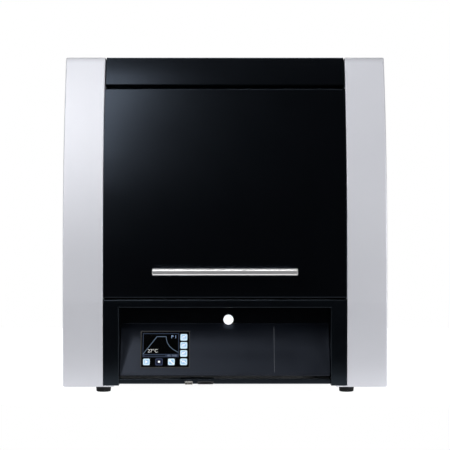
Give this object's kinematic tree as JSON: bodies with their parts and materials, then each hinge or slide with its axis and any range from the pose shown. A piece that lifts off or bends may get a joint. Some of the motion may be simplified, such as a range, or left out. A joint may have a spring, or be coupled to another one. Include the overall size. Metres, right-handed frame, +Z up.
{
  "type": "dental lab furnace",
  "caption": "Bench-top dental sintering furnace: top-hinged bowed door with a bar handle, insulated chamber with hairpin elements, recessed control panel with display and round button.",
  "frame": {"origin": "under the middle of the overall box, on the plane the feet stand on", "axes": "+Z up, front (door and controls) faces -Y, +X to the viewer's right when facing the front"},
  "size_m": [0.535, 0.628, 0.56],
  "materials": {
    "silver_paint": "satin silver powder coat",
    "black_paint": "smooth semi-gloss black paint",
    "black_plastic": "fine satin moulded black",
    "slate_plastic": "satin slate-grey moulded panel",
    "screen_rim": "satin dark grey",
    "screen_glass": "polished black display glass",
    "button_white": "translucent white, lit from inside",
    "brushed_bar": "brushed stainless steel",
    "plain_steel": "plain zinc-plated steel",
    "frame_steel": "grey primed steel",
    "nickel": "nickel plate",
    "rubber_black": "matte black rubber",
    "fibre_board": "pressed white ceramic fibre board",
    "ceramic_white": "unglazed white ceramic",
    "element_grey": "dark grey silicide with a glassy skin",
    "aluminium": "plain aluminium",
    "core_steel": "varnished electrical steel",
    "copper": "enamelled copper wire",
    "board_green": "solder mask",
    "inner_black": "matte black moulding"
  },
  "bodies": {
    "furnace": {"left_side_panel": "silver_paint", "right_side_panel": "silver_paint", "top_cover": "black_paint", "rear_cover": "black_paint", "cover_screws": "nickel", "base_tray": "frame_steel", "feet": "rubber_black", "foot_screws": "nickel", "rear_spacers": "rubber_black", "lower_fascia": "black_plastic", "control_panel": "slate_plastic", "lower_lip": "black_plastic", "display_frame": "screen_rim", "touch_screen": "screen_glass", "display_module": "board_green", "button_housing": "inner_black", "usb_socket": "nickel", "data_socket": "inner_black", "chassis_posts": "frame_steel", "chassis_rails": "frame_steel", "hinge_brackets": "plain_steel", "hinge_cartridges": "frame_steel", "muffle_case": "plain_steel", "mouth_frame": "plain_steel", "insulation_floor": "fibre_board", "insulation_roof": "fibre_board", "insulation_left": "fibre_board", "insulation_right": "fibre_board", "insulation_rear": "fibre_board", "setter_plate": "ceramic_white", "heating_elements": "element_grey", "element_holders": "ceramic_white", "terminal_clamps": "aluminium", "power_bars": "aluminium", "thermocouple": "ceramic_white", "thermocouple_head": "aluminium", "exhaust_tube": "ceramic_white", "transformer_core": "core_steel", "transformer_coil": "copper", "heat_sink": "aluminium", "power_controller": "inner_black", "controller_board": "board_green", "board_standoffs": "plain_steel", "fan_housing": "inner_black", "fan_guard": "plain_steel", "mains_inlet": "inner_black", "switch_frame": "inner_black", "door_magnets": "nickel", "door_switch": "inner_black"},
    "door": {"door_skin": "black_paint", "door_pan": "plain_steel", "door_insulation": "fibre_board", "door_seal": "fibre_board", "handle_bar": "brushed_bar", "handle_posts": "brushed_bar", "hinge_pins": "plain_steel", "door_hinge_blocks": "plain_steel"},
    "button": {"start_button": "button_white"},
    "rocker": {"mains_rocker": "inner_black"},
    "rotor": {"fan_rotor": "inner_black"}
  },
  "joints": [
    {"name": "door_hinge", "type": "hinge", "parent": "furnace", "child": "door", "pos_m": [0, -0.22409, 0.4924], "axis": [-1, 0, 0], "range_deg": [0, 95]},
    {"name": "start_button_press", "type": "slide", "parent": "furnace", "child": "button", "axis": [0, 1, 0], "range_m": [0, 0.001], "stiffness_N_per_m": 400},
    {"name": "mains_rocker_tilt", "type": "hinge", "parent": "furnace", "child": "rocker", "pos_m": [-0.112, 0.294, 0.062], "axis": [0, 0, -1], "range_deg": [0, 20]},
    {"name": "fan_spin", "type": "hinge", "parent": "furnace", "child": "rotor", "pos_m": [0.11, 0.281, 0.42], "axis": [0, 1, 0], "continuous": true}
  ]
}
